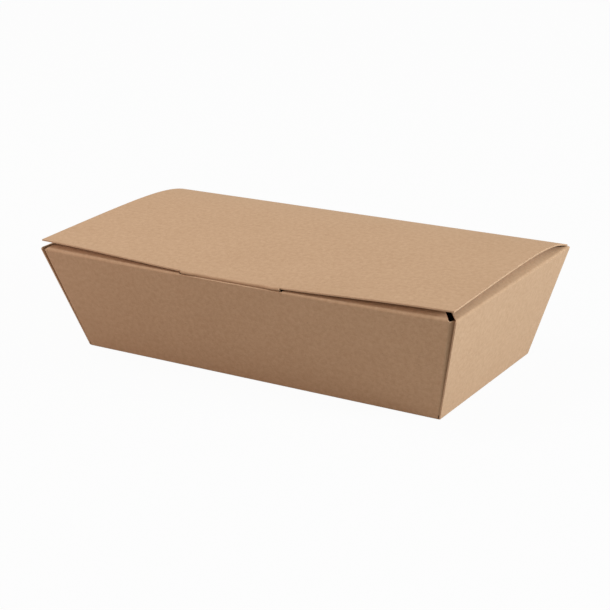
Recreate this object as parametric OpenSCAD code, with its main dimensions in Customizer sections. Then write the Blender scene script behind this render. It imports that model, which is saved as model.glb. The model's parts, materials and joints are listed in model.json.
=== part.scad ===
// Takeaway box: a flared tray folded from one sheet of kraft board, with a lid that is
// one sheet with the rear wall. The lid is shown closed, its tab tucked in behind the front wall.
// Millimetres. Origin in the middle of the underside of the base, +X along the length,
// -Y towards the front, +Z up.

/* [Tray] */
// Outside length of the base
base_length = 225; // [180:1:240]
// Outside width of the base
base_width = 100; // [80:1:115]
// Height of the rim above the table
height = 60; // [40:1:90]
// How far each end leans outwards between the base and the rim
end_flare = 17.5; // [10:0.5:30]
// How far the front and the rear lean outwards between the base and the rim
side_flare = 15; // [10:0.5:25]
// How far the middle of the front wall bows out at its rim
front_bow = 2.5; // [0:0.5:4]

/* [Board] */
// Thickness of the board
board = 0.8; // [0.5:0.1:1.2]
// Inside radius of every fold
fold_inner = 0.3; // [0.2:0.1:0.8]

/* [Rim flanges and glue flaps] */
// Depth of the flanges that are folded in along the front and both ends
flange_depth = 14; // [10:1:20]
// Gap between the free edges of the flanges and the lid, which holds them down
flange_gap = 0.7; // [0.6:0.1:1.5]
// How far each end of the front flange runs back for each millimetre of its depth
front_mitre = 0.8; // [0.75:0.05:1.2]
// The same for the end flanges
end_mitre = 1.05; // [1:0.05:1.4]
// Distance at the rim from a corner to the fold of a glue flap
corner_set = 3.5; // [2:0.5:5]
// Distance at the rim from a corner to the cut edge of an end wall
end_set = 0.6; // [0:0.2:1.4]
// Length of a glue flap behind its end wall
flap_length = 24; // [15:1:35]

/* [Lid] */
// Distance from the end of the rim back to the end of the lid, at its front corners
lid_front_inset = 1.5; // [1:0.1:6]
// The same distance at its hinge fold
lid_hinge_inset = 3.2; // [3:0.1:10]
// Distance from the front rim back to the front edge of the lid
lid_set = 1; // [0.5:0.1:2]
// Height to which the lid springs up from its hinge fold
lid_rise = 6.1; // [2:0.1:9]
// Share of the lid's depth over which it springs up
lid_ease = 0.14; // [0.1:0.02:0.3]
// Drop of the lid's ends from there to the front corners
lid_fall = 2.1; // [0:0.1:2.3]
// Further drop of the middle of the front edge, where the tab pulls it down
lid_dip = 3.2; // [0:0.1:3.8]

/* [Tuck tab] */
// Width of the tab
tab_width = 62; // [40:1:90]
// Length of the tab below its fold
tab_length = 15; // [10:1:18]
// Radius of the tab's lower corners
tab_corner = 7; // [2:1:9]
// Gap between the tab and the inside of the front wall
tab_gap = 0.35; // [0.3:0.05:0.8]
// Gap between each end of the tab and its slot
slot_gap = 1.2; // [0.6:0.2:3]
// Width of the slot that is cut out of the front flange
slot_width = 7; // [6:0.1:8]

/* [Hinge] */
// Gap between the rear wall and the hinge fold
hinge_gap = 0.15; // [0.1:0.05:0.3]

/* [Hidden] */
kraft = "#c9a27e";
kraft_shade = "#b58d69";

fold_r = fold_inner + board;
fold_steps = 4;
flange_steps = 4;
bow_steps = 16;
lid_steps = 20;
lid_rows = 14;
tab_steps = 4;
// Depth to which glued faces are pressed into each other
press = 0.05;
// How far one panel runs on into the next, where both are one board
run_on = 2 * board;
// How far a glue flap goes inwards for each millimetre that it goes sideways to its end wall
flap_turn = 1.7;

// Outside length and width at the rim
rim_length = base_length + 2 * end_flare;
rim_width = base_width + 2 * side_flare;
side_tilt = atan(side_flare / height);
end_tilt = atan(end_flare / height);
// Thickness of a tilted wall, measured level
side_board = board / cos(side_tilt);
end_board = board / cos(end_tilt);

hinge_y = rim_width / 2 - side_board;
hinge_z = height;

// The tab leans in a little more than the bowed front wall does, by tab_lean degrees
tab_lean = 1.2;
tab_tilt = atan((side_flare + front_bow) / height) + tab_lean;
slot_length = tab_width + 2 * slot_gap;

lid_front_length = rim_length - 2 * lid_front_inset;
lid_hinge_length = rim_length - 2 * lid_hinge_inset;
// Powers that shape the fall of the lid towards its front edge, and its dip towards the middle
fall_power = 1.4;
dip_power = 2.6;

// Points on an arc, in the plane of a wall's section
function arc(centre, r, from, to) =
    [for (i = [0:fold_steps])
        let (a = from + (to - from) * i / fold_steps)
        centre + r * [cos(a), sin(a)]];

// Outward bow of the front, largest in the middle of the rim. The lower fold stays straight.
function bow(x, up = height) =
    front_bow * (1 - pow(2 * x / rim_length, 2)) * max(0, up - fold_r) / (height - fold_r);

// Section of a wall as [outward, up]: the lower fold, from the base to the wall. The outer
// face has the radius fold_r and the inner one fold_inner.
function lower_fold(half_base, tilt, r) =
    arc([half_base - fold_r * tan(45 - tilt / 2), fold_r], r, -90, -tilt);

// The rim fold, and the flange that it turns inwards
function rim_fold(half_rim, tilt, r) =
    let (folded = fold_r * tan(45 + tilt / 2))
    concat(
        arc([half_rim - folded, height - fold_r], r, -tilt, 90),
        [for (i = [1:flange_steps])
            [half_rim - folded - (flange_depth - folded) * i / flange_steps, height - fold_r + r]]);

// The upper edge of the rear wall, just below the hinge fold
function hinge_edge(r) =
    [[hinge_y, hinge_z] + (r - fold_inner) * [cos(side_tilt), -sin(side_tilt)]
        - (board + hinge_gap) * [sin(side_tilt), cos(side_tilt)]];

// How far a point of a wall's outer section is turned in from the wall, by the rim fold
function turned_in(p, half_base, tilt) = p[1] > height / 2 ? half_base + p[1] * tan(tilt) - p[0] : 0;

// Half the length of a wall at a point of its outer section. The ends lean with the wall,
// and the ends of the rim fold and flange are mitred.
function reach(p, foot, rim, half_base, tilt, mitre = 0) =
    foot + (rim - foot) * p[1] / height - mitre * turned_in(p, half_base, tilt);

// Share of a flange's rise at a point of its outer section. Flanges spring up from their rim
// fold and level off towards the free edge, where the lid holds them down.
function sprung(p, half_base, tilt) = 1 - pow(1 - min(1, turned_in(p, half_base, tilt) / flange_depth), 2);

// Rise of the front flange's free edge, and of an end flange's, to just below the lid
function front_lift(x) =
    let (v = (hinge_y + rim_width / 2 - flange_depth) / (hinge_y + rim_width / 2 - lid_set))
    max(0, lid_up(min(1, x / lid_half(v)), v) - height - flange_gap);
function end_lift(y) =
    let (v = max(0, (hinge_y - y) / (hinge_y + rim_width / 2 - lid_set)),
         u = (rim_length / 2 - flange_depth) / lid_half(v))
    max(0, lid_up(u, v) - height - flange_gap);

// Closed sheet of board between two grids of points, near face first
module sheet(near, far) {
    rows = len(near);
    cols = len(near[0]);
    n = rows * cols;
    points = [for (grid = [near, far]) for (row = grid) for (p = row) p];
    skins = [for (i = [0:rows - 2]) for (j = [0:cols - 2])
        let (a = i * cols + j, b = a + cols, c = b + 1, d = a + 1)
        each [[a, b, c], [a, c, d], [n + a, n + c, n + b], [n + a, n + d, n + c]]];
    row_edges = [for (j = [0:cols - 2])
        let (a = j, d = j + 1, b = n - cols + j, c = b + 1)
        each [[a, d, n + d], [a, n + d, n + a], [c, b, n + b], [c, n + b, n + c]]];
    column_edges = [for (i = [0:rows - 2])
        let (a = i * cols, b = a + cols, d = a + cols - 1, c = b + cols - 1)
        each [[b, a, n + a], [b, n + a, n + b], [d, c, n + c], [d, n + c, n + d]]];
    polyhedron(points, concat(skins, row_edges, column_edges));
}

// Wall that faces -Y, from its outer and inner sections and the half-length of each row. A
// flange rises by lift, a function of the place along the wall, times each row's own share.
module wall(outer, inner, halves, bowed = false, shares = [], lift = function(x) 0) {
    steps = len(shares) > 0 ? bow_steps : 1;
    function face(section) =
        [for (i = [0:len(section) - 1])
            [for (j = [0:steps])
                let (x = halves[i] * (2 * j / steps - 1), out = section[i][0], up = section[i][1])
                [x, -out - (bowed ? bow(x, up) : 0), up + (steps > 1 ? shares[i] * lift(x) : 0)]]];
    sheet(face(outer), face(inner));
}

module base() {
    half_x = base_length / 2 - fold_r * tan(45 - end_tilt / 2);
    half_y = base_width / 2 - fold_r * tan(45 - side_tilt / 2);
    translate([-half_x, -half_y, 0]) cube([2 * half_x, 2 * half_y, board]);
}

// Half-length of the front and rear walls at the base and at the rim
side_foot = base_length / 2 - fold_r;
side_rim = rim_length / 2 - corner_set;

module front_wall() {
    half_base = base_width / 2;
    half_rim = rim_width / 2;
    function section(r) = concat(lower_fold(half_base, side_tilt, r), rim_fold(half_rim, side_tilt, r));
    halves = [for (p = section(fold_r)) reach(p, side_foot, side_rim, half_base, side_tilt, front_mitre)];
    shares = [for (p = section(fold_r)) sprung(p, half_base, side_tilt)];
    difference() {
        wall(section(fold_r), section(fold_inner), halves, bowed = true, shares = shares,
            lift = function(x) front_lift(abs(x)));
        // Slot for the tab, along the inside of the wall's upper edge
        translate([-slot_length / 2, side_board - half_rim - bow(slot_length / 2), height - fold_r])
            cube([slot_length, slot_width, fold_r + lid_rise]);
    }
}

module rear_wall() {
    half_base = base_width / 2;
    function section(r) = concat(lower_fold(half_base, side_tilt, r), hinge_edge(r));
    halves = [for (p = section(fold_r)) reach(p, side_foot, side_rim, half_base, side_tilt)];
    rotate([0, 0, 180]) wall(section(fold_r), section(fold_inner), halves);
}

// End wall that faces +X
module end_wall() {
    half_base = base_length / 2;
    half_rim = rim_length / 2;
    function section(r) = concat(lower_fold(half_base, end_tilt, r), rim_fold(half_rim, end_tilt, r));
    halves = [for (p = section(fold_r))
        reach(p, base_width / 2, rim_width / 2 - end_set, half_base, end_tilt, end_mitre)];
    shares = [for (p = section(fold_r)) sprung(p, half_base, end_tilt)];
    rotate([0, 0, 90]) wall(section(fold_r), section(fold_inner), halves, shares = shares,
        lift = function(y) end_lift(y));
}

// Solid between two outlines of equally many points, each given anticlockwise from above
module prism(low, high) {
    n = len(low);
    sides = [for (i = [0:n - 1]) let (k = (i + 1) % n) each [[i, n + i, n + k], [i, n + k, k]]];
    polyhedron(concat(low, high), concat([[for (i = [0:n - 1]) i], [for (i = [n - 1:-1:0]) n + i]], sides));
}

// Glue flap of the front wall, turned in behind the end wall that faces +X
module glue_flap() {
    // Outline at a height: along the outside from within the front wall, round the fold and
    // along the end wall to the far edge, then back along the inside
    function outline(z) =
        let (fold_x = side_foot + (side_rim - side_foot) * z / height,
             wall_x = base_length / 2 + z * tan(end_tilt) - end_board + press,
             out_y = inset - base_width / 2 - z * tan(side_tilt),
             in_y = out_y + side_board - 2 * inset,
             turn_y = out_y + flap_turn * max(wall_x - fold_x, 0))
        [[fold_x - run_on, out_y, z],
         [fold_x, out_y, z],
         [wall_x, turn_y, z],
         [wall_x, turn_y + flap_length, z],
         [wall_x - end_board, turn_y + flap_length, z],
         [wall_x - end_board, turn_y + board / 2, z],
         [fold_x - board / 2, in_y, z],
         [fold_x - run_on, in_y, z]];
    inset = board / 4;
    prism(outline(board / 2), outline(height - fold_r - fold_inner));
}

module tray() {
    color(kraft_shade) {
        base();
        front_wall();
        rear_wall();
        for (side = [0, 1]) mirror([side, 0, 0]) {
            end_wall();
            for (rear = [0, 1]) mirror([0, rear, 0]) glue_flap();
        }
    }
}

// Underside of the lid at a share v of the way from the hinge fold to the front edge, and a
// share u of the way from its middle to its end
function lid_up(u, v) = hinge_z + lid_rise * (1 - exp(-v / lid_ease)) - lid_fall * pow(v, fall_power)
    - lid_dip * v * v * pow(1 - u * u, dip_power);

function lid_half(v) = (lid_hinge_length + (lid_front_length - lid_hinge_length) * v) / 2;

// The front edge follows the bowed rim
function lid_front(x) = rim_width / 2 + bow(x) - lid_set;

function lid_point(u, v, up) =
    let (x = u * lid_half(v))
    [x, hinge_y - v * (hinge_y + lid_front(x)), lid_up(u, v) + up];

module lid_panel() {
    function face(up) = [for (i = [0:lid_rows]) [for (j = [0:lid_steps])
        lid_point(2 * j / lid_steps - 1, i / lid_rows, up)]];
    sheet(face(0), face(board));
}

// Place of the tab's fold as [outward, up]
tab_fold_up = lid_up(0, 1) + board - fold_r;
tab_fold_out = rim_width / 2 + bow(slot_length / 2) - side_board - tab_gap
    + (tab_fold_up - height) * tan(tab_tilt) - fold_r / cos(tab_tilt);

// The tab, as a grid that runs over its fold and down to its rounded lower corners
module tab() {
    centre = [tab_fold_out, tab_fold_up];
    down = -[sin(tab_tilt), cos(tab_tilt)];
    out = [cos(tab_tilt), -sin(tab_tilt)];
    drops = [0, for (i = [0:fold_steps]) tab_length - tab_corner * (1 - sin(90 * i / fold_steps))];
    function corner(drop) =
        let (past = max(0, drop - tab_length + tab_corner)) tab_corner - sqrt(tab_corner ^ 2 - past ^ 2);
    function section(r) = concat(
        [centre - [run_on, -r]],
        arc(centre, r, 90, -tab_tilt),
        [for (i = [1:len(drops) - 1]) centre + r * out + drops[i] * down]);
    function face(r) =
        let (points = section(r))
        [for (i = [0:len(points) - 1])
            let (drop = max(0, (tab_fold_up - section(fold_r)[i][1]) / cos(tab_tilt)),
                 half = tab_width / 2 - corner(min(drop, tab_length)))
            [for (j = [0:tab_steps])
                let (x = half * (2 * j / tab_steps - 1))
                [x, -points[i][0], points[i][1] + lid_up(x / lid_half(1), 1) - lid_up(0, 1)]]];
    sheet(face(fold_inner), face(fold_r));
}

module lid() {
    color(kraft) {
        difference() {
            lid_panel();
            translate([-tab_width / 2, -rim_width, height - board])
                cube([tab_width, rim_width - tab_fold_out, lid_rise + 2 * board]);
        }
        tab();
        // Hinge fold
        translate([-lid_hinge_length / 2, hinge_y, hinge_z]) rotate([0, 90, 0])
            cylinder(r = board, h = lid_hinge_length, $fn = 32);
    }
}

tray();
lid();
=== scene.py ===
import json
import math

import bpy
import numpy as np
from mathutils import Matrix, Vector


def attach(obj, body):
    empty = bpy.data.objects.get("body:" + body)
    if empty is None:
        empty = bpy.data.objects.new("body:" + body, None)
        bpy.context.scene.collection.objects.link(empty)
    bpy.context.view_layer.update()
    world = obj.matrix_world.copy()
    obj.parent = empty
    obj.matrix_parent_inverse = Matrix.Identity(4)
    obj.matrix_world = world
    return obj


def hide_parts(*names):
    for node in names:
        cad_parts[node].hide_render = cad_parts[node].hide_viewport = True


# Takeaway box folded from one sheet of kraft board, with its lid closed and the tab tucked in.
# Metres, in the frame's own axes: +X along the length, -Y towards the front, +Z up.

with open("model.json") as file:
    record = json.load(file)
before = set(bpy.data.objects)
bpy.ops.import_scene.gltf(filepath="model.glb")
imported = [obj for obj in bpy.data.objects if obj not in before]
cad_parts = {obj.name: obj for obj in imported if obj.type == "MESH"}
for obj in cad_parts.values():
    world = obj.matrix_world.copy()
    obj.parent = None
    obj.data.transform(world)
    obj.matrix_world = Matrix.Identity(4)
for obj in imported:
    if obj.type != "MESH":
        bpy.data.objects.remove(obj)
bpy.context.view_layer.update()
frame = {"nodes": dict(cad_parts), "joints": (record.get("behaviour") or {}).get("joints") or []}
print("loaded the frame with nodes", sorted(frame["nodes"]))

board = {
    "thick": 0.0008,
    "foldInner": 0.00005,  # inside radius of a fold
    "foldSteps": 8,  # faces round a fold
    "weld": 1e-7,  # points nearer than this are one point
    "slack": 1e-9,  # shares this close count as equal
    "sharpAngle": math.radians(28),  # steeper edges are shaded sharp
}
thick = board["thick"]
foldOuter = board["foldInner"] + thick
rightAngle = math.pi / 2


# Panels of the sheet. A panel is a grid of points for each skin of the board, outer and inner, with the
# place of each point in the flat sheet, and how far a fold bends the board there. That last value sets how
# much painted shade the fold gets.

# Section of a fold: both skins are arcs about one centre. Columns are the outer skin's outward and up, the
# inner skin's outward and up, and the weight of the painted fold shade, which is a half sine wave over the
# fold.
def foldRows(centre, start, end):
    share = np.linspace(0, 1, board["foldSteps"] + 1)
    angle = start + (end - start) * share
    ring = np.stack([np.cos(angle), np.sin(angle)], 1)
    strain = np.sin(math.pi * share)[:, None]
    return np.hstack([centre + foldOuter * ring, centre + board["foldInner"] * ring, strain])


# Rows on the straight line between two rows of a section, at these shares of the way
def straightRows(first, last, shares):
    return first + (last - first) * np.array(shares)[:, None]


# Distance of each row of points from the first one, measured along the section
def distances(points):
    return np.cumsum(np.linalg.norm(np.diff(points, axis=0, prepend=points[:1]), axis=1))


# The panel turned about the upright axis by a number of right angles
def turned(panel, quarters):
    cos, sin = [(1, 0), (0, 1), (-1, 0), (0, -1)][quarters]
    turn = np.array([[cos, sin], [-sin, cos]])
    moved = {part: np.concatenate([panel[part][..., :2] @ turn, panel[part][..., 2:]], -1)
             for part in ("outer", "inner", "flat")}
    return {**panel, **moved}


# The panel's mirror image across the middle of the box. Its faces then run the other way round.
def mirrored(panel):
    moved = {part: panel[part] * [-1, 1, 1][:panel[part].shape[-1]] for part in ("outer", "inner", "flat")}
    return {**panel, **moved, "flip": not panel.get("flip", False)}


# Four-sided faces between neighbouring points of the grid, less those that keep leaves out
def panelFaces(panel):
    rows, columns = panel["strain"].shape
    at = np.arange(rows * columns).reshape(rows, columns)
    faces = np.stack([at[:-1, :-1], at[:-1, 1:], at[1:, 1:], at[1:, :-1]], -1)
    faces = faces[panel["keep"]] if "keep" in panel else faces.reshape(-1, 4)
    return faces[:, ::-1] if panel.get("flip") else faces


# One closed shell from panels that share the points where they meet. The inner skin has the outer
# one's faces the other way round, and each edge of the outer skin that only one face uses gets a
# face of cut edge across the board.
def boardPiece(name, panels, body, finishes):
    skins = [np.vstack([p[skin].reshape(-1, 3) for p in panels]) for skin in ("outer", "inner")]
    flat = np.vstack([p["flat"].reshape(-1, 2) for p in panels])
    strain = np.concatenate([p["strain"].ravel() for p in panels])
    starts = np.cumsum([0] + [p["strain"].size for p in panels])
    faces = np.vstack([panelFaces(p) + start for p, start in zip(panels, starts)])
    places = np.round(np.hstack(skins) / board["weld"]).astype(np.int64)
    first, same = np.unique(places, axis=0, return_index=True, return_inverse=True)[1:]
    used, faces = np.unique(same.ravel()[faces], return_inverse=True)
    first, faces = first[used], faces.reshape(-1, 4)
    count = len(first)

    edges = np.stack([faces, np.roll(faces, -1, 1)], -1).reshape(-1, 2)
    start, end = edges[~np.isin(edges @ [count, 1], edges @ [1, count])].T
    cut = np.stack([end, start, start + count, end + count], -1)
    allFaces = np.vstack([faces, faces[:, ::-1] + count, cut])

    mesh = bpy.data.meshes.new(name)
    mesh.from_pydata(np.vstack([skin[first] for skin in skins]).tolist(), [], allFaces.tolist())
    mesh.polygons.foreach_set("material_index", np.repeat([0, 0, 1], [len(faces), len(faces), len(cut)]))
    sheetMap = mesh.uv_layers.new(name="sheet")
    sheetMap.uv.foreach_set("vector", flat[first][allFaces.ravel() % count].astype(np.float32).ravel())
    foldShadeLayer = mesh.attributes.new("strain", "FLOAT", "POINT")
    foldShadeLayer.data.foreach_set("value", np.tile(strain[first], 2).astype(np.float32))
    for finish in finishes:
        mesh.materials.append(finish)
    mesh.update()
    mesh.validate()
    mesh.shade_smooth()
    mesh.set_sharp_from_angle(angle=board["sharpAngle"])
    piece = bpy.data.objects.new(name, mesh)
    bpy.context.scene.collection.objects.link(piece)
    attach(piece, body)
    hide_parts(body)
    print("made", name, "with", len(allFaces), "faces,", len(cut), "of them cut edge")


# Shader nodes

# A node's output. Arithmetic on it adds Math nodes.
class Wire:
    def __init__(self, paint, output):
        self.paint = paint
        self.output = output

    def math(self, operation, first, second):
        return self.paint.node("ShaderNodeMath", {"operation": operation}, {0: first, 1: second})

    def __add__(self, other):
        return self.math("ADD", self, other)

    def __mul__(self, other):
        return self.math("MULTIPLY", self, other)

    __radd__ = __add__
    __rmul__ = __mul__


# The node tree of a material or a world
class Paint:
    def __init__(self, holder):
        self.holder = holder
        holder.use_nodes = True
        self.tree = holder.node_tree
        self.tree.nodes.clear()

    def node(self, kind, settings=None, sockets=None, output=0):
        made = self.tree.nodes.new(kind)
        for name, value in (settings or {}).items():
            setattr(made, name, value)
        for name, value in (sockets or {}).items():
            if isinstance(value, Wire):
                self.tree.links.new(value.output, made.inputs[name])
            else:
                made.inputs[name].default_value = value
        return Wire(self, made.outputs[output]) if made.outputs else made

    def blend(self, factor, first, second):  # a colour from first to second
        return self.node("ShaderNodeMix", {"data_type": "RGBA"}, {0: factor, 6: first, 7: second},
                         output=2)

    def noise(self, vector, scale, detail=2.0, roughness=0.5, distortion=0.0):
        return self.node("ShaderNodeTexNoise", None, {
            "Vector": vector, "Scale": scale, "Detail": detail, "Roughness": roughness,
            "Distortion": distortion})

    def stretched(self, vector, turn, scale):  # the pattern turned in its plane and drawn out
        return self.node("ShaderNodeMapping", None, {
            "Vector": vector, "Rotation": (0, 0, turn), "Scale": scale})

    def ease(self, value, low, high):  # 0 below low, 1 above high and smooth between
        return self.node("ShaderNodeMapRange", {"interpolation_type": "SMOOTHSTEP"},
                         {"Value": value, "From Min": low, "From Max": high})


kraft = {
    "dark": (0.467, 0.292, 0.173, 1),
    "light": (0.559, 0.367, 0.230, 1),
    "toneRange": (0.3, 0.7),  # pulp tones at which the board is dark, and light
    "clouds": 26,  # patches of darker and lighter pulp, per metre
    "cloudShare": 0.12,
    "mottle": 420,
    "mottleShare": 0.55,
    "mottleHeight": 0.35,  # heights are shares of the relief
    "grain": 1500,
    "grainShare": 0.33,
    "grainHeight": 0.3,
    "fibre": (0.650, 0.455, 0.305, 1),  # pale long fibres
    "fibreTurns": (0.15, 1.15, -0.85),  # how they lie, in radians from the length of the sheet
    "fibreScale": (260, 2600, 1),
    "fibreRange": (0.64, 0.74),  # noise at which a fibre begins to show, and shows fully
    "fibreShare": 0.3,
    "fibreHeight": 0.35,
    "shive": (0.230, 0.125, 0.065, 1),  # dark specks of bark
    "shiveTurn": 0.5,
    "shiveScale": (500, 1300, 1),
    "shiveRange": (0.75, 0.79),
    "shiveShare": 0.45,
    "crease": (0.410, 0.255, 0.149, 1),  # painted shade on the folds, darker than the board, which tones down their highlight
    "creaseShare": 0.2,
    "roughness": 0.8,
    "roughnessSpread": 0.2,
    "gloss": 0.1,
    "relief": 0.00004,  # depth of the fibres in the surface
    "bump": 0.6,
}


# Uncoated kraft board. The pattern lies in the flat sheet, so it runs on over the folds.
def kraftBoard():
    paint = Paint(bpy.data.materials.new("kraftBoard"))
    sheet = paint.node("ShaderNodeUVMap", {"uv_map": "sheet"})
    strain = paint.node("ShaderNodeAttribute", {"attribute_name": "strain"}, output=2)
    clouds = paint.noise(sheet, kraft["clouds"], detail=3)
    mottle = paint.noise(sheet, kraft["mottle"], detail=4, roughness=0.6, distortion=0.4)
    grain = paint.noise(sheet, kraft["grain"], detail=2, roughness=0.55)
    tone = clouds * kraft["cloudShare"] + mottle * kraft["mottleShare"] + grain * kraft["grainShare"]
    colour = paint.blend(paint.ease(tone, *kraft["toneRange"]), kraft["dark"], kraft["light"])
    height = mottle * kraft["mottleHeight"] + grain * kraft["grainHeight"]
    for turn in kraft["fibreTurns"]:
        lying = paint.stretched(sheet, turn, kraft["fibreScale"])
        threads = paint.noise(lying, 1, detail=2, roughness=0.5, distortion=0.6)
        fibre = paint.ease(threads, *kraft["fibreRange"])
        colour = paint.blend(fibre * kraft["fibreShare"], colour, kraft["fibre"])
        height = height + fibre * kraft["fibreHeight"]
    lying = paint.stretched(sheet, kraft["shiveTurn"], kraft["shiveScale"])
    shive = paint.ease(paint.noise(lying, 1, detail=1), *kraft["shiveRange"])
    colour = paint.blend(shive * kraft["shiveShare"], colour, kraft["shive"])
    # painted shade: the board is darkened where it bends over a fold
    colour = paint.blend(strain * kraft["creaseShare"], colour, kraft["crease"])
    bump = paint.node("ShaderNodeBump", None, {
        "Strength": kraft["bump"], "Distance": kraft["relief"], "Height": height})
    smoothest = kraft["roughness"] - kraft["roughnessSpread"] / 2
    shader = paint.node("ShaderNodeBsdfPrincipled", None, {
        "Base Color": colour, "Roughness": grain * kraft["roughnessSpread"] + smoothest, "Normal": bump,
        "Specular IOR Level": kraft["gloss"]})
    paint.node("ShaderNodeOutputMaterial", None, {"Surface": shader})
    return paint.holder


cutEdge = {
    "pale": (0.54, 0.345, 0.21, 1),
    "deep": (0.46, 0.285, 0.165, 1),
    "toneRange": (0.36, 0.6),
    "plies": 2600,  # streaks of the pressed layers, per metre
    "pliesScale": (0.12, 0.12, 1),
    "pliesShare": 0.6,
    "chips": 600,
    "chipsShare": 0.4,
    "roughness": 0.85,
    "relief": 0.00006,
    "bump": 0.7,
}


# The bare core of the board where it was cut: paler, rougher and streaked
def cutBoard():
    paint = Paint(bpy.data.materials.new("cutBoard"))
    place = paint.node("ShaderNodeTexCoord", output=3)
    plies = paint.noise(paint.stretched(place, 0, cutEdge["pliesScale"]), cutEdge["plies"], detail=2)
    chips = paint.noise(place, cutEdge["chips"], detail=3, roughness=0.6)
    tone = plies * cutEdge["pliesShare"] + chips * cutEdge["chipsShare"]
    colour = paint.blend(paint.ease(tone, *cutEdge["toneRange"]), cutEdge["deep"], cutEdge["pale"])
    bump = paint.node("ShaderNodeBump", None, {
        "Strength": cutEdge["bump"], "Distance": cutEdge["relief"], "Height": tone})
    shader = paint.node("ShaderNodeBsdfPrincipled", None, {
        "Base Color": colour, "Roughness": cutEdge["roughness"], "Normal": bump})
    paint.node("ShaderNodeOutputMaterial", None, {"Surface": shader})
    return paint.holder


finishes = [kraftBoard(), cutBoard()]
print("mixed the finishes", [finish.name for finish in finishes])


# Tray

hinge = next(joint["pos_m"] for joint in frame["joints"] if joint["name"] == "lid_hinge")
hingeY, rimHeight = hinge[1:]

tray = {
    "baseLength": 0.225,
    "baseWidth": 0.100,
    "endFlare": 0.0175,  # how far an end leans out on its way up to the rim
    "sideFlare": 0.015,
    "frontBow": 0.0025,  # how far the front bulges in the middle of its rim
    "flange": 0.014,
    "frontSet": 0.0039,  # from a corner of the rim to the fold of a glue flap
    "footSet": 0.0005,  # how much shorter a side is at its foot, which leaves a slit at its flaps
    "endSet": 0.0006,  # from a corner of the rim to an end wall's cut edge
    "endExtra": 0.0007,  # how much further back an end wall goes at the rear
    "frontSpring": 1.7,  # how soon a sprung flange levels off: at 1 it runs straight to its edge
    "endSpring": 1.3,
    "flangeGap": 0.0007,  # between the free edges of the flanges and the lid that holds them down
    "frontMitre": 0.8,  # how far the ends of a flange run back, for its depth
    "endMitre": 1.05,
    "slotHalf": 0.0322,
    "slotWidth": 0.007,
    "lipTop": 0.0598,  # the wall's upper edge along the slot
    "rearDrop": 0.00035,  # from the hinge down to the rear wall's upper edge
    "rearStrain": 0.5,
    "wallShares": (0.006, 0.035, 0.12, 0.25, 0.4, 0.55, 0.7, 0.85, 0.965, 0.994),
    "slotColumns": 12,  # from the middle of a side to the end of the slot
    "sideColumns": 26,
    "sideEnd": 0.975,  # share of a side at which its even columns end
    "sideLast": (0.992, 1),
    "endColumns": 16,
    "endEnd": 0.97,
    "endLast": (0.99, 1),
    "slotRows": 6,
    "backRows": 5,  # of the front flange, behind the slot
    "endRows": 9,
    "flapFoot": 0.002,  # height at which the glue flaps begin
    "flapLength": 0.024,
    "flapTurn": math.radians(60),  # first turn of a flap, across to its end wall
    "flapTaper": 0.16,
    "flapShares": (0.04, 0.3, 0.65, 0.97, 1),
    "flapSqueeze": 0.9,  # thickness left in a fold tighter than the board, for its radius
    "flapStrain": 0.8,
    "glue": 0.00002,
}
halfLength = tray["baseLength"] / 2
halfWidth = tray["baseWidth"] / 2
rimHalfLength = halfLength + tray["endFlare"]
rimHalfWidth = halfWidth + tray["sideFlare"]
sideTilt = math.atan(tray["sideFlare"] / rimHeight)
endTilt = math.atan(tray["endFlare"] / rimHeight)
slotShare = 0.25  # share of a side's columns that lie within the slot

lid = {
    "frontInset": 0.0015,  # from the end of the rim back to the lid's end, at its front corners
    "hingeInset": 0.0032,
    "shoulder": 0.0015,  # how much further the lid reaches right at its hinge
    "shoulderShare": 0.03,  # share of its depth over which that fades
    "frontSet": 0.001,  # from the front rim back to the lid's front edge
    "rise": 0.0061,  # how high the lid springs up from its hinge
    "ease": 0.14,  # share of its depth over which it does so
    "fall": 0.0021,
    "fallPower": 1.4,
    "dip": 0.0032,  # how far the tab holds down the middle of the front edge
    "dipPower": 2.6,
    "beadStart": math.radians(-165),  # where the hinge fold begins, from straight outward
    "beadHeart": 0.00003,  # inside radius of the hinge fold
    "beadSteps": 16,
    "beadStrain": 0.7,
    "rows": 40,
    "rowPower": 1.4,  # crowds the rows towards the hinge
    "sideColumns": 34,
    "sideEnd": 0.985,
    "sideLast": (0.996, 1),
    "slitShare": 0.985,  # share of the depth at which the slits beside the tab begin
    "slitRows": (0.991, 0.998, 1),
    "slit": 0.00015,
}
lidFrontHalf = rimHalfLength - lid["frontInset"]
lidHingeHalf = rimHalfLength - lid["hingeInset"]


# Underside of the lid, at shares u of its half-length and v of its depth: it springs up from the
# hinge and levels off, falls a little to the front, and dips in the middle of its front edge
def lidUnder(u, v):
    spring = lid["rise"] * (1 - np.exp(-v / lid["ease"]))
    dip = lid["dip"] * v * v * (1 - u * u) ** lid["dipPower"]
    return rimHeight + spring - lid["fall"] * v ** lid["fallPower"] - dip


# Rise of a flange's free edge to just below the lid, at a depth behind the front rim
def flangeLift(x, depth):
    v = np.clip(1 - (depth - lid["frontSet"]) / (hingeY + rimHalfWidth - lid["frontSet"]), 0, 1)
    u = np.minimum(1, np.abs(x) / (lidHingeHalf + (lidFrontHalf - lidHingeHalf) * v))
    return np.maximum(0, lidUnder(u, v) - rimHeight - tray["flangeGap"])


# How far the front bulges: a parabola along the rim, fading evenly down to the lower fold
def bow(x, up):
    fade = np.maximum(0, up - foldOuter) / (rimHeight - foldOuter)
    return tray["frontBow"] * (1 - (x / rimHalfLength) ** 2) * fade


# Centres of the lower fold and the rim fold, as outward and up
def lowerCentre(half, tilt):
    return np.array([half - foldOuter * math.tan((rightAngle - tilt) / 2), foldOuter])


def rimCentre(half, tilt):
    return np.array([half - foldOuter * math.tan((rightAngle + tilt) / 2), rimHeight - foldOuter])


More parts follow.
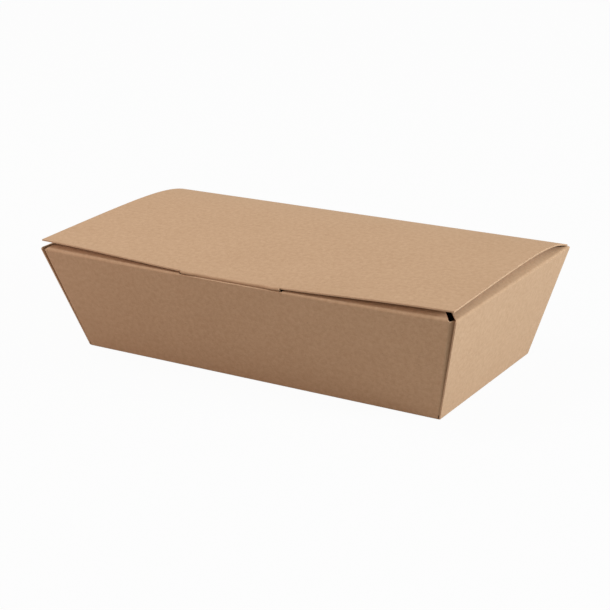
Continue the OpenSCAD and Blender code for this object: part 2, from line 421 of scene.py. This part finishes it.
# A wall's section: the lower fold, the wall and its rim fold, then the flange through the depths
# given as outward places. Returns the rows and the row at which the rim fold begins.
def flangedRows(half, flare, tilt, places):
    low = foldRows(lowerCentre(half, tilt), -rightAngle, -tilt)
    rim = foldRows(rimCentre(half + flare, tilt), -tilt, rightAngle)
    wall = straightRows(low[-1], rim[0], tray["wallShares"])
    flange = np.array([[out, rimHeight, out, rimHeight - thick, 0] for out in places])
    return np.vstack([low, wall, rim, flange]), len(low) + len(wall)


# How far each row is turned in from its wall by the rim fold
def turnedIn(rows, halfBase, tilt):
    return np.where(rows[:, 1] > rimHeight / 2, halfBase + rows[:, 1] * math.tan(tilt) - rows[:, 0], 0)


# Share of its free edge's rise that a flange has in each row: it springs up from the rim fold and
# levels off, as 1 less a power of the share of its width that is left
def sprungShares(rows, halfBase, tilt, power):
    return (1 - (1 - np.minimum(1, turnedIn(rows, halfBase, tilt) / tray["flange"])) ** power)[:, None]


# Half the length of each row: even from foot to rim, less mitre times the depth turned in. The
# first row is the base's own edge, and the lower fold leads from it to the wall.
def halfLengths(rows, edge, foot, rim, halfBase, tilt, mitre=0):
    reach = foot + (rim - foot) * rows[:, 1] / rimHeight - mitre * turnedIn(rows, halfBase, tilt)
    share = np.minimum(np.arange(len(rows)) / board["foldSteps"], 1)
    return edge + (reach - edge) * share


# Both halves of a run of columns, from its shares on one side
def bothSides(shares):
    return np.concatenate([-shares[::-1], shares[1:]])


# Places across a side: even to the end of the slot, then even on to the row's end
def sidePlaces(halves, shares):
    size = np.abs(shares)
    past = (size - slotShare) / (1 - slotShare) * (halves[:, None] - tray["slotHalf"])
    return np.sign(shares) * np.where(size <= slotShare, size / slotShare * tray["slotHalf"],
                                      tray["slotHalf"] + past)


# A wall that faces -Y, from its section, the place of each point along it, and how far it is lifted
def wallPanel(rows, x, lift=0, bowed=False, flatStart=halfWidth):
    skins = {}
    for skin, outward, up in (("outer", rows[:, 0:1], rows[:, 1:2]), ("inner", rows[:, 2:3], rows[:, 3:4])):
        bulge = bow(x, up) if bowed else 0
        skins[skin] = np.stack([x, -outward - bulge + 0 * x, up + lift + 0 * x], -1)
    along = flatStart + distances((rows[:, 0:2] + rows[:, 2:4]) / 2)[:, None]
    return {**skins, "flat": np.stack([x, 0 * x - along], -1), "strain": rows[:, 4:5] + 0 * x}


# Glue flap at the right-hand end of a wall that faces -Y. In plan it turns across to its end wall
# round a fold, meets it at a mitred corner and runs back along it, pressed to its inside.
def gluePanel(wall, rows):
    start, inside = wall["outer"][rows, -1][:, None], wall["inner"][rows, -1][:, None]
    depth = np.linalg.norm((inside - start)[..., :2], axis=-1)
    lean = math.tan(endTilt)
    level = thick / math.cos(endTilt) + tray["glue"]

    def wallX(up):
        return halfLength + up * lean - level

    turn = np.linspace(0, tray["flapTurn"], board["foldSteps"] // 2 + 1)
    room = wallX(start[..., 2]) - start[..., 0]
    radius = np.minimum(foldOuter, room / math.sin(tray["flapTurn"]))
    foldX = start[..., 0] + radius * np.sin(turn)
    foldY = start[..., 1] + radius * (1 - np.cos(turn))
    cornerX = wallX(start[..., 2])
    cornerY = foldY[:, -1:] + (cornerX - foldX[:, -1:]) * math.tan(tray["flapTurn"])
    share = np.array(tray["flapShares"])
    middle = start[..., 2].mean()
    farUp = start[..., 2] + (middle - start[..., 2]) * tray["flapTaper"] * share
    x = np.hstack([foldX, cornerX, wallX(farUp)])
    y = np.hstack([foldY, cornerY, cornerY + tray["flapLength"] * share])
    up = np.hstack([start[..., 2] + 0 * foldX, start[..., 2], farUp])

    # the inner skin lies square to each stretch, and on the bisector at the corner
    left = (rightAngle - tray["flapTurn"]) / 2
    facing = np.concatenate([turn, [tray["flapTurn"] + left], np.full(len(share), rightAngle)])
    reach = np.concatenate([np.ones(len(turn)), [1 / math.cos(left)], np.ones(len(share))])
    through = depth * reach
    through[:, 1:len(turn)] = np.minimum(depth, tray["flapSqueeze"] * radius)
    innerX = x - through * np.sin(facing)
    innerY = y + through * np.cos(facing)
    outer = np.stack([x, y, up], -1)
    inner = np.stack([innerX, innerY, up + (inside - start)[..., 2]], -1)
    outer[:, :1], inner[:, :1] = start, inside
    along = np.cumsum(np.hypot(np.diff(x, prepend=x[:, :1]), np.diff(y, prepend=y[:, :1])), 1)
    flat = wall["flat"][rows, -1][:, None] + along[..., None] * [1, 0]
    strain = np.concatenate([np.sin(math.pi * turn / turn[-1]), [tray["flapStrain"]], 0 * share]) + 0 * x
    return {"outer": outer, "inner": inner, "flat": flat, "strain": strain}


def trayPanels():
    baseX = lowerCentre(halfLength, endTilt)[0]
    baseY = lowerCentre(halfWidth, sideTilt)[0]
    sideFoot = halfLength - foldOuter - tray["footSet"]
    sideRim = rimHalfLength - tray["frontSet"]
    sideShares = bothSides(np.concatenate([
        np.linspace(0, slotShare, tray["slotColumns"]),
        np.linspace(slotShare, tray["sideEnd"], tray["sideColumns"])[1:], tray["sideLast"]]))
    endShares = bothSides(np.concatenate([
        np.linspace(0, tray["endEnd"], tray["endColumns"]), tray["endLast"]]))

    # front: the slot's back edge and the flange's own edge are rows of their own
    slotBack = rimHalfWidth - thick / math.cos(sideTilt) - tray["slotWidth"]
    flangeEdge = rimHalfWidth - tray["flange"]
    rimTop = rimCentre(rimHalfWidth, sideTilt)[0]
    places = np.concatenate([np.linspace(rimTop, slotBack, tray["slotRows"])[1:],
                             np.linspace(slotBack, flangeEdge, tray["backRows"])[1:]])
    rows, rimStart = flangedRows(halfWidth, tray["sideFlare"], sideTilt, places)
    halves = halfLengths(rows, baseX, sideFoot, sideRim, halfWidth, sideTilt, tray["frontMitre"])
    x = sidePlaces(halves, sideShares)
    lift = sprungShares(rows, halfWidth, sideTilt, tray["frontSpring"]) * flangeLift(x, tray["flange"])
    front = wallPanel(rows, x, lift, bowed=True)
    slotRows = slice(rimStart, len(rows) - tray["backRows"])
    inSlot = np.abs(sideShares[1:] + sideShares[:-1]) / 2 < slotShare
    front["keep"] = np.ones((len(rows) - 1, len(sideShares) - 1), bool)
    front["keep"][slotRows] = ~inSlot

    # lip: along the slot the wall goes straight on up to a cut edge
    rise = (tray["lipTop"] - rows[rimStart, 1]) * np.array([0, 0.5, 1])[:, None]
    lipRows = rows[rimStart] + rise * [math.tan(sideTilt), 1, math.tan(sideTilt), 1, 0]
    lipShares = sideShares[np.abs(sideShares) < slotShare + board["slack"]]
    lip = wallPanel(lipRows, sidePlaces(halves[[rimStart] * 3], lipShares), bowed=True,
                    flatStart=-front["flat"][rimStart, 0, 1])

    # rear: up to an edge just below the hinge
    low = foldRows(lowerCentre(halfWidth, sideTilt), -rightAngle, -sideTilt)
    along = np.array([math.sin(sideTilt), math.cos(sideTilt)])
    across = np.array([math.cos(sideTilt), -math.sin(sideTilt)])
    edge = np.array([hingeY, rimHeight]) - tray["rearDrop"] * along
    top = np.concatenate([edge + thick * across, edge, [tray["rearStrain"]]])
    rearRows = np.vstack([low, straightRows(low[-1], top, tray["wallShares"] + (1,))])
    rearRows[:-1, 4] = np.where(np.arange(len(rearRows) - 1) < len(low), rearRows[:-1, 4], 0)
    rearHalves = halfLengths(rearRows, baseX, sideFoot, sideRim, halfWidth, sideTilt)
    rear = wallPanel(rearRows, sidePlaces(rearHalves, sideShares))

    # ends
    flangeEdge = rimHalfLength - tray["flange"]
    places = np.linspace(rimCentre(rimHalfLength, endTilt)[0], flangeEdge, tray["endRows"])[1:]
    rows = flangedRows(halfLength, tray["endFlare"], endTilt, places)[0]
    halves = halfLengths(rows, baseY, halfWidth, rimHalfWidth - tray["endSet"], halfLength, endTilt,
                         tray["endMitre"])
    sprung = sprungShares(rows, halfLength, endTilt, tray["endSpring"])
    further = 1 + tray["endExtra"] / rimHalfWidth * rows[:, 1:2] / rimHeight * (endShares > 0)
    ends = []
    for side in (1, -1):
        along = np.outer(halves, endShares) * (further if side > 0 else further[:, ::-1])
        lift = sprung * flangeLift(flangeEdge, rimHalfWidth + side * along)
        ends.append(wallPanel(rows, along, lift, flatStart=halfLength))

    # base: its rows run from the rear to the front
    x, y = np.meshgrid(front["outer"][0, :, 0], -baseY * endShares)
    base = {"outer": np.stack([x, y, 0 * x], -1), "inner": np.stack([x, y, 0 * x + thick], -1),
            "flat": np.stack([x, y], -1), "strain": 0 * x}

    def flaps(wall):
        up = wall["outer"][:, -1, 2]
        tops = np.flatnonzero((up > tray["flapFoot"]) & (up < rimHeight - foldOuter))
        flap = gluePanel(wall, slice(tops[0], tops[-1] + 1))
        return [flap, mirrored(flap)]

    return [base, front, lip, *flaps(front), *[turned(p, 2) for p in [rear, *flaps(rear)]],
            turned(ends[0], 1), turned(ends[1], 3)]


boardPiece("kraft_tray", trayPanels(), "tray", finishes)


# Lid

tab = {
    "width": 0.062,
    "length": 0.015,
    "corner": 0.007,
    "gap": 0.00035,  # to the inside of the front wall
    "lean": math.radians(1.2),  # how much more it leans in than the wall does
    "ride": 0.0009,  # how far its ends ride out over the wall's edge
    "rideFrom": 0.0205,  # distance from the middle at which they begin to
    "rideTo": 0.0255,
    "rideDepth": 0.0016,
    "columns": 14,
    "drops": (0.0004, 0.0009, 0.0016, 0.003, 0.0055),  # rows below the fold, above the corners
    "cornerRows": 7,
}
tabShare = tab["width"] / 2 / lidFrontHalf


def smooth(value, low, high):  # 0 below low, 1 above high and smooth between
    share = np.clip((value - low) / (high - low), 0, 1)
    return share * share * (3 - 2 * share)


# Points of the lid at a height above its underside. The front edge follows the bowed rim, and the
# ends reach a little further right at the hinge.
def lidPoints(u, v, above):
    shoulder = lid["shoulder"] * np.exp(-v / lid["shoulderShare"])
    x = u * (lidHingeHalf + (lidFrontHalf - lidHingeHalf) * v + shoulder)
    front = rimHalfWidth + bow(x, rimHeight) - lid["frontSet"]
    return np.stack([x, hingeY - v * (hingeY + front), lidUnder(u, v) + above], -1)


# The lid from its hinge fold, a bead about the joint's axis, to where the slits beside the tab begin
def lidPanel(u):
    angle = np.linspace(lid["beadStart"], rightAngle, lid["beadSteps"] + 1)[:, None]
    v = lid["slitShare"] * np.linspace(0, 1, lid["rows"] + 1)[1:, None] ** lid["rowPower"]
    skins = {}
    for skin, radius, above in (("outer", thick, thick), ("inner", lid["beadHeart"], 0)):
        x = u * (lidHingeHalf + lid["shoulder"]) + 0 * angle
        bead = np.stack([x, hingeY + radius * np.cos(angle) + 0 * x,
                         rimHeight + radius * np.sin(angle) + 0 * x], -1)
        skins[skin] = np.concatenate([bead, lidPoints(u, v, above)])
    rearLength = tray["sideFlare"] / math.sin(sideTilt)
    along = halfWidth + rearLength + distances(skins["outer"][:, len(u) // 2])[:, None]
    strain = np.where(np.arange(len(along)) <= lid["beadSteps"], lid["beadStrain"], 0)[:, None]
    x = skins["outer"][..., 0]
    return {**skins, "flat": np.stack([x, along + 0 * x], -1), "strain": strain + 0 * x, "flip": True}


# More rows of points added to a panel's last row, for the columns that are picked
def carriedOn(panel, columns, outer, inner, strain):
    skins = {"outer": np.concatenate([panel["outer"][-1:, columns], outer]),
             "inner": np.concatenate([panel["inner"][-1:, columns], inner])}
    middle = skins["outer"].shape[1] // 2
    along = panel["flat"][-1, 0, 1] + distances(skins["outer"][:, middle])[:, None]
    x = skins["outer"][..., 0]
    return {**skins, "flat": np.stack([x, along + 0 * x], -1), "strain": np.vstack([[[0]], strain]) + 0 * x,
            "flip": True}


# The tab: over its fold, an arc from level to its own tilt, and straight down to rounded corners.
# Its ends ride out over the wall's edge, and lower down they lie inside it as its middle does.
def tabPanel(main, columns, u):
    tilt = math.atan((tray["sideFlare"] + tray["frontBow"]) / rimHeight) + tab["lean"]
    foldUp = lidUnder(0, 1) + thick - foldOuter
    inside = rimHalfWidth + bow(tray["slotHalf"], rimHeight) - thick / math.cos(sideTilt) - tab["gap"]
    foldOut = inside + (foldUp - rimHeight) * math.tan(tilt) - foldOuter / math.cos(tilt)
    arc = np.linspace(rightAngle, -tilt, board["foldSteps"] + 1)
    cornerTurn = np.linspace(0, rightAngle, tab["cornerRows"])
    corner = tab["length"] - tab["corner"] * (1 - np.sin(cornerTurn))
    drop = np.concatenate([0 * arc, tab["drops"], corner])[:, None]
    angle = np.concatenate([arc, np.full(len(drop) - len(arc), -tilt)])[:, None]
    past = np.maximum(0, drop - tab["length"] + tab["corner"])
    half = tab["width"] / 2 - lid["slit"] - tab["corner"] + np.sqrt(tab["corner"] ** 2 - past ** 2)
    x = half * u / tabShare
    ride = tab["ride"] * smooth(np.abs(x), tab["rideFrom"], tab["rideTo"])
    ride = ride * (1 - smooth(drop - foldOuter * np.minimum(angle, 0), 0, tab["rideDepth"]))
    lift = lidUnder(x / lidFrontHalf, 1) - lidUnder(0, 1)
    skins = []
    for radius in (foldOuter, board["foldInner"]):
        out = foldOut + ride + radius * np.cos(angle) - drop * math.sin(tilt)
        up = foldUp + lift + radius * np.sin(angle) - drop * math.cos(tilt)
        skins.append(np.stack([x, -out, up], -1))
    strain = np.where(drop > 0, 0, np.cos((angle + tilt) / (rightAngle + tilt) * math.pi - rightAngle))
    return carriedOn(main, columns, *skins, strain)


def lidPanels():
    u = bothSides(np.concatenate([
        np.linspace(0, tabShare, tab["columns"]),
        np.linspace(tabShare, lid["sideEnd"], lid["sideColumns"])[1:], lid["sideLast"]]))
    main = lidPanel(u)
    inTab = np.flatnonzero(np.abs(u) < tabShare + board["slack"])
    left, right = slice(0, inTab[0] + 1), slice(inTab[-1], len(u))
    v = np.array(lid["slitRows"])[:, None]
    sides = [carriedOn(main, side, lidPoints(u[side], v, thick), lidPoints(u[side], v, 0), 0 * v)
             for side in (left, right)]
    return [main, *sides, tabPanel(main, inTab, u[inTab])]


boardPiece("kraft_lid", lidPanels(), "lid", finishes)


# Floor, light and camera

studio = {
    "floorSize": 8,
    "floorDrop": 0.0002,  # keeps the floor clear of the underside
    "floorColour": (0.47, 0.47, 0.47, 1),
    "glow": 0.96,  # share of plain white in what the camera sees of the floor
    "ambient": 0.46,
    "ambientColour": (1.0, 0.94, 0.82, 1),
}

# Disk lamps, all turned to the box: above its left, low on its right, and low in front on the left
lamps = {
    "top": {"from": (-1.15, -0.35, 2.2), "size": 1.0, "power": 23.6, "colour": (0.81, 0.92, 1.0)},
    "right": {"from": (2.3, 0.4, 0.75), "size": 0.9, "power": 58, "colour": (0.83, 0.92, 1.0)},
    "front": {"from": (-1.0, -0.7, 0.5), "size": 0.6, "power": 5.6, "colour": (1.0, 0.70, 0.66)},
}


# 1 where the camera looks, also through glass or by a reflection
def seenDirectly(paint):
    camera, glossy, through = [paint.node("ShaderNodeLightPath", output=output)
                               for output in ("Is Camera Ray", "Is Glossy Ray", "Is Transmission Ray")]
    return camera + glossy + through


def makeFloor():
    size = studio["floorSize"] / 2
    mesh = bpy.data.meshes.new("floor")
    level = -studio["floorDrop"]
    corners = [[-size, -size, level], [size, -size, level], [size, size, level], [-size, size, level]]
    mesh.from_pydata(corners, [], [[0, 1, 2, 3]])
    paint = Paint(bpy.data.materials.new("paleFloor"))
    matt = paint.node("ShaderNodeBsdfDiffuse", None, {"Color": studio["floorColour"]})
    white = paint.node("ShaderNodeEmission", None, {"Color": (1, 1, 1, 1), "Strength": 1})
    seen = seenDirectly(paint) * studio["glow"]
    shader = paint.node("ShaderNodeMixShader", None, {0: seen, 1: matt, 2: white})
    paint.node("ShaderNodeOutputMaterial", None, {"Surface": shader})
    mesh.materials.append(paint.holder)
    floor = bpy.data.objects.new("floor", mesh)
    bpy.context.scene.collection.objects.link(floor)


def makeWorld():
    paint = Paint(bpy.data.worlds.new("softbox"))
    level = studio["ambient"]
    soft = paint.node("ShaderNodeBackground", None, {"Color": studio["ambientColour"], "Strength": level})
    white = paint.node("ShaderNodeBackground", None, {"Color": (1, 1, 1, 1), "Strength": 1})
    shader = paint.node("ShaderNodeMixShader", None, {0: seenDirectly(paint), 1: soft, 2: white})
    paint.node("ShaderNodeOutputWorld", None, {"Surface": shader})
    bpy.context.scene.world = paint.holder


def makeLamp(name):
    data = bpy.data.lights.new(name, "AREA")
    data.shape = "DISK"
    data.size = lamps[name]["size"]
    data.energy = lamps[name]["power"]
    data.color = lamps[name]["colour"]
    lamp = bpy.data.objects.new(name, data)
    lamp.location = lamps[name]["from"]
    lamp.rotation_euler = (-lamp.location).to_track_quat("-Z", "Y").to_euler()
    bpy.context.scene.collection.objects.link(lamp)


makeFloor()
makeWorld()
for name in lamps:
    makeLamp(name)
bpy.context.scene.view_settings.view_transform = "Standard"
print("set up the floor and the light")

view = {
    "turn": math.radians(33.64),  # to the right of the front, seen from above
    "above": math.radians(19.80),
    "roll": math.radians(-2.37),
    "aim": (0.00693, -0.00793, 0.0300),
    "distance": 0.8906,
    "lens": 96.61,
    "sensor": 36,
}


# The camera looks at its aim from turn and above, then rolls about its own axis
def makeCamera():
    data = bpy.data.cameras.new("camera")
    data.lens = view["lens"]
    data.sensor_width = view["sensor"]
    camera = bpy.data.objects.new("camera", data)
    around = Matrix.Rotation(view["turn"], 4, "Z") @ Matrix.Rotation(rightAngle - view["above"], 4, "X")
    back = around @ Vector((0, 0, view["distance"], 0))
    place = Matrix.Translation(Vector(view["aim"]) + back.to_3d())
    camera.matrix_world = place @ around @ Matrix.Rotation(view["roll"], 4, "Z")
    bpy.context.scene.collection.objects.link(camera)
    bpy.context.scene.camera = camera


makeCamera()
print("placed the camera")
